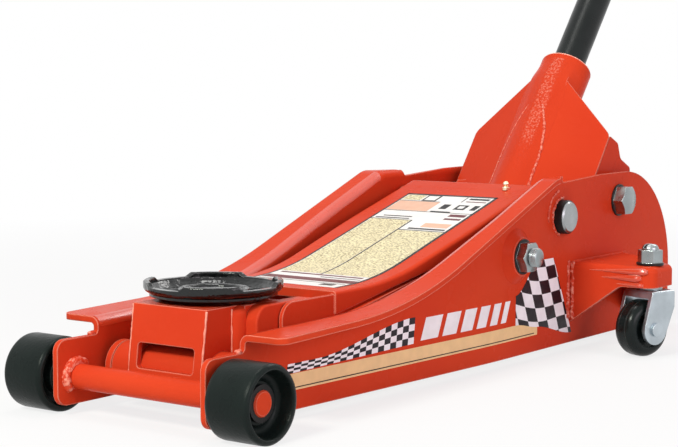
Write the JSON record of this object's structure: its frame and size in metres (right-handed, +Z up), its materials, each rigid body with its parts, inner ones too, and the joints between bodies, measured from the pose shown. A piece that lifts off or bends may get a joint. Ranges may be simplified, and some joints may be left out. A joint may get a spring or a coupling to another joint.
{
  "type": "floor jack",
  "caption": "Low service floor jack with a swivelling saddle on a level-keeping lift arm, flanged side plates, front wheels, rear swivel casters and a two-piece pump handle.",
  "frame": {"origin": "floor level, under the middle of the overall box", "axes": "+X from the lifting end towards the handle end, +Y towards the jack's left as the operator at the handle end looks away from it, +Z up"},
  "size_m": [1.3412, 0.3754, 1.0728],
  "materials": {
    "red_paint": "gloss",
    "black_paint": "satin",
    "black_wheel": "satin",
    "black_caster": "gloss",
    "zinc": "zinc plated",
    "steel": "machined",
    "brass": "polished",
    "rubber": "matte"
  },
  "bodies": {
    "frame": {"left_side_plate": "red_paint", "right_side_plate": "red_paint", "front_axle": "red_paint", "axle_rings": "zinc", "arm_pivot_shaft": "steel", "boss_rings": "red_paint", "link_anchor_bolts": "zinc", "link_anchor_nuts": "zinc", "link_anchor_spacers": "zinc", "socket_pivot_bolts": "zinc", "left_caster_bracket": "red_paint", "right_caster_bracket": "red_paint", "base_plate": "red_paint", "rear_tie_plate": "red_paint", "valve_block": "red_paint", "unit_bolts": "zinc", "reservoir_shell": "red_paint", "cylinder_tube": "steel", "gland_nut": "steel"},
    "arm": {"arm_hub": "red_paint", "left_arm_plate": "red_paint", "right_arm_plate": "red_paint", "arm_cover": "red_paint", "crank_plates": "red_paint", "crank_pin": "steel", "head_pivot_pin": "steel", "head_pin_collars": "zinc", "grease_nipple": "brass"},
    "head": {"head_bracket": "red_paint", "left_head_cheek": "red_paint", "right_head_cheek": "red_paint", "saddle_seat": "red_paint", "link_cross_tube": "red_paint", "link_front_pin": "steel"},
    "left_link": {"left_levelling_link": "red_paint"},
    "right_link": {"right_levelling_link": "red_paint"},
    "saddle_top": {"saddle": "black_paint", "saddle_bolt": "zinc"},
    "ram_unit": {"ram": "steel", "ram_yoke": "steel"},
    "left_wheel": {"left_front_wheel": "black_wheel"},
    "right_wheel": {"right_front_wheel": "black_wheel"},
    "left_caster": {"left_caster_fork": "zinc", "left_caster_stem": "zinc", "left_caster_axle": "zinc"},
    "right_caster": {"right_caster_fork": "zinc", "right_caster_stem": "zinc", "right_caster_axle": "zinc"},
    "left_caster_roller": {"left_caster_wheel": "black_caster"},
    "right_caster_roller": {"right_caster_wheel": "black_caster"},
    "socket": {"socket_yoke": "red_paint", "socket_tube": "red_paint", "pump_nose": "red_paint"},
    "handle": {"handle_lower_tube": "black_paint", "handle_upper_tube": "black_paint", "handle_joint_bolt": "zinc", "handle_grip": "rubber"},
    "plunger": {"pump_plunger": "steel"},
    "release": {"release_stem": "steel"}
  },
  "joints": [
    {"name": "arm_lift", "type": "hinge", "parent": "frame", "child": "arm", "pos_m": [-0.16001, 0, 0.131], "axis": [0, 1, 0], "range_deg": [0, 66]},
    {"name": "head_level", "type": "hinge", "parent": "arm", "child": "head", "pos_m": [-0.51001, 0, 0.0644], "axis": [0, 1, 0], "range_deg": [-66, 0]},
    {"name": "left_link_swing", "type": "hinge", "parent": "frame", "child": "left_link", "pos_m": [-0.24501, 0.064, 0.1006], "axis": [0, 1, 0], "range_deg": [0, 66]},
    {"name": "right_link_swing", "type": "hinge", "parent": "frame", "child": "right_link", "pos_m": [-0.24501, -0.064, 0.1006], "axis": [0, 1, 0], "range_deg": [0, 66]},
    {"name": "ram_slide", "type": "slide", "parent": "frame", "child": "ram_unit", "axis": [-1, 0, 0], "range_m": [0, 0.0656]},
    {"name": "saddle_swivel", "type": "hinge", "parent": "head", "child": "saddle_top", "pos_m": [-0.56041, 0, 0.088], "axis": [0, 0, 1], "continuous": true},
    {"name": "left_wheel_spin", "type": "hinge", "parent": "frame", "child": "left_wheel", "pos_m": [-0.64101, 0.104, 0.03], "axis": [0, 1, 0], "continuous": true},
    {"name": "right_wheel_spin", "type": "hinge", "parent": "frame", "child": "right_wheel", "pos_m": [-0.64101, -0.104, 0.03], "axis": [0, 1, 0], "continuous": true},
    {"name": "left_caster_swivel", "type": "hinge", "parent": "frame", "child": "left_caster", "pos_m": [-0.118, 0.1655, 0.085], "axis": [0, 0, 1], "continuous": true},
    {"name": "left_caster_roll", "type": "hinge", "parent": "left_caster", "child": "left_caster_roller", "pos_m": [-0.12752, 0.16241, 0.027], "axis": [-0.309, 0.9511, 0], "continuous": true},
    {"name": "right_caster_swivel", "type": "hinge", "parent": "frame", "child": "right_caster", "pos_m": [-0.118, -0.1655, 0.085], "axis": [0, 0, 1], "continuous": true},
    {"name": "right_caster_roll", "type": "hinge", "parent": "right_caster", "child": "right_caster_roller", "pos_m": [-0.12752, -0.16241, 0.027], "axis": [0.309, 0.9511, 0], "continuous": true},
    {"name": "handle_tilt", "type": "hinge", "parent": "frame", "child": "socket", "pos_m": [-0.04201, 0, 0.14], "axis": [0, 1, 0], "range_deg": [-38, 33]},
    {"name": "pump_stroke", "type": "slide", "parent": "frame", "child": "plunger", "axis": [0, 0, -1], "range_m": [-0.0176, 0.0153]},
    {"name": "handle_twist", "type": "hinge", "parent": "socket", "child": "handle", "pos_m": [0.023, 0, 0.28], "axis": [0.6293, 0, 0.7771], "range_deg": [0, 90]},
    {"name": "release_turn", "type": "hinge", "parent": "frame", "child": "release", "pos_m": [0.01099, -0.036, 0.11], "axis": [0, 0, 1], "range_deg": [0, 90]}
  ],
  "couplings": [
    {"joint": "head_level", "follows": "arm_lift", "ratio": -1},
    {"joint": "left_link_swing", "follows": "arm_lift", "ratio": 1},
    {"joint": "right_link_swing", "follows": "arm_lift", "ratio": 1},
    {"joint": "ram_slide", "follows": "arm_lift", "m_per_rad": 0.056737},
    {"joint": "pump_stroke", "follows": "handle_tilt", "m_per_rad": 0.026},
    {"joint": "release_turn", "follows": "handle_twist", "ratio": 1}
  ]
}
